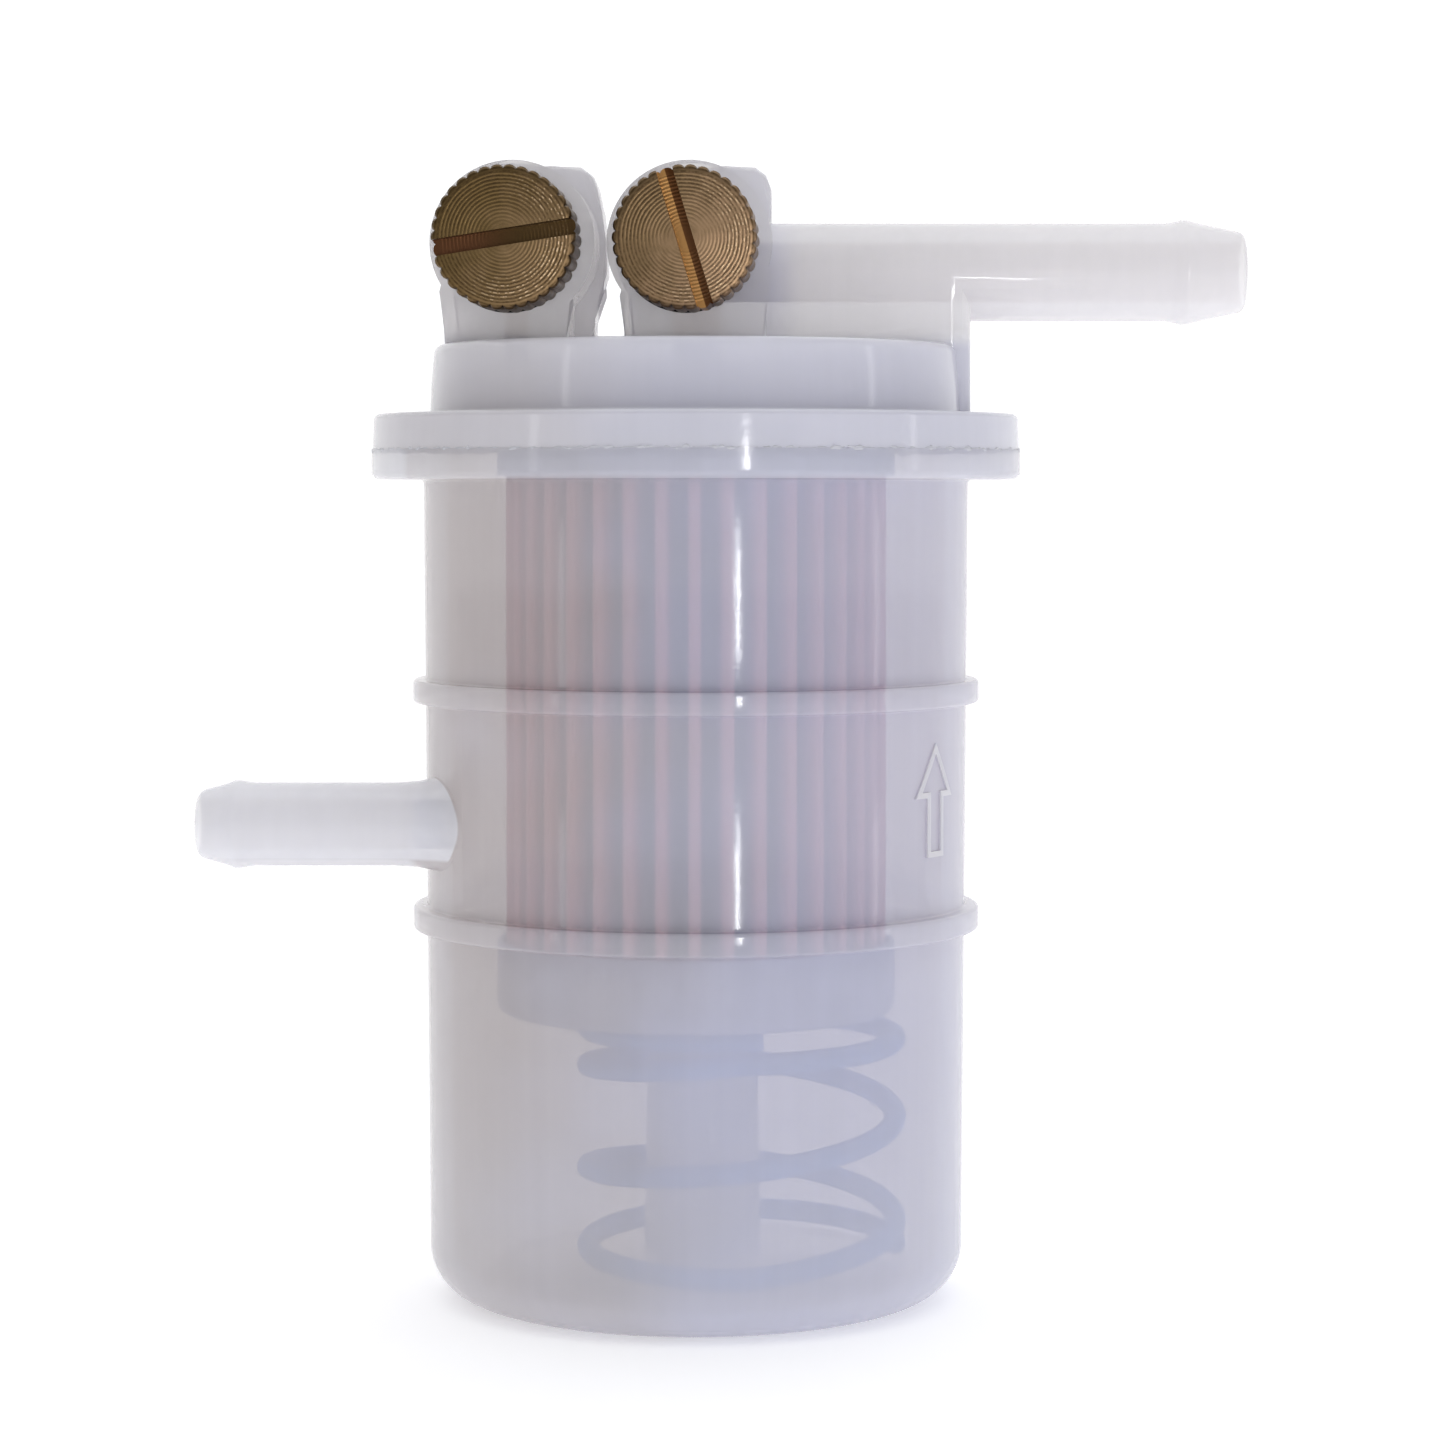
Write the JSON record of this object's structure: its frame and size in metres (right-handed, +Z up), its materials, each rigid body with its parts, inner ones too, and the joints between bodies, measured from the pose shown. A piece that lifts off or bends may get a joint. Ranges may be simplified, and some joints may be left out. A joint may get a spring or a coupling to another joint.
{
  "type": "in-line liquid filter",
  "caption": "Translucent welded canister filter with side inlet barb, top outlet barb, slotted bleed screws, pleated element on a spring and a magnet post.",
  "frame": {"origin": "middle of the bowl's flat underside, on the body's axis", "axes": "+Z up along the body's axis, +X along the outlet pipe, -Y on the side of the bleed screws"},
  "size_m": [0.0956, 0.06, 0.1038],
  "materials": {
    "nylon": "milky translucent moulded nylon, satin gloss",
    "brass": "turned brass with fine concentric tool marks",
    "rubber": "matt black nitrile",
    "plated_steel": "dull zinc plate",
    "resin": "cast adhesive",
    "filter_paper": "resin-treated pleated paper",
    "spring_steel": "drawn wire",
    "magnet": "nickel-plated magnet"
  },
  "bodies": {
    "housing": {"bowl": "nylon", "cap": "nylon", "magnet_holder": "nylon", "pole_disc": "plated_steel", "bar_magnet": "magnet", "spring": "spring_steel"},
    "element": {"element_gasket": "rubber", "element_top_cap": "plated_steel", "top_bond": "resin", "pleated_paper": "filter_paper", "pleat_seam_clip": "plated_steel", "core_tube": "plated_steel", "bottom_bond": "resin", "element_bottom_cap": "plated_steel"},
    "left_washer": {"left_sealing_washer": "rubber"},
    "left_screw": {"left_bleed_screw": "brass"},
    "right_washer": {"right_sealing_washer": "rubber"},
    "right_screw": {"right_bleed_screw": "brass"}
  },
  "joints": [
    {"name": "element_lift", "type": "slide", "parent": "housing", "child": "element", "axis": [0, 0, 1], "range_m": [-0.0035, 0], "stiffness_N_per_m": 900, "springref_m": 0.012, "deforming": ["spring"]},
    {"name": "left_screw_travel", "type": "slide", "parent": "housing", "child": "left_washer", "axis": [-0.0436, -0.999, 0], "range_m": [0, 0.00175]},
    {"name": "left_screw_turn", "type": "hinge", "parent": "left_washer", "child": "left_screw", "pos_m": [-0.0164, 0, 0.0963], "axis": [-0.0436, -0.999, 0], "range_deg": [0, 635]},
    {"name": "right_screw_travel", "type": "slide", "parent": "housing", "child": "right_washer", "axis": [-0.0436, -0.999, 0], "range_m": [0, 0.00175]},
    {"name": "right_screw_turn", "type": "hinge", "parent": "right_washer", "child": "right_screw", "pos_m": [-0.00035, 0, 0.0963], "axis": [-0.0436, -0.999, 0], "range_deg": [0, 635]}
  ],
  "couplings": [
    {"joint": "left_screw_turn", "follows": "left_screw_travel", "rad_per_m": 6283.2},
    {"joint": "right_screw_turn", "follows": "right_screw_travel", "rad_per_m": 6283.2}
  ]
}
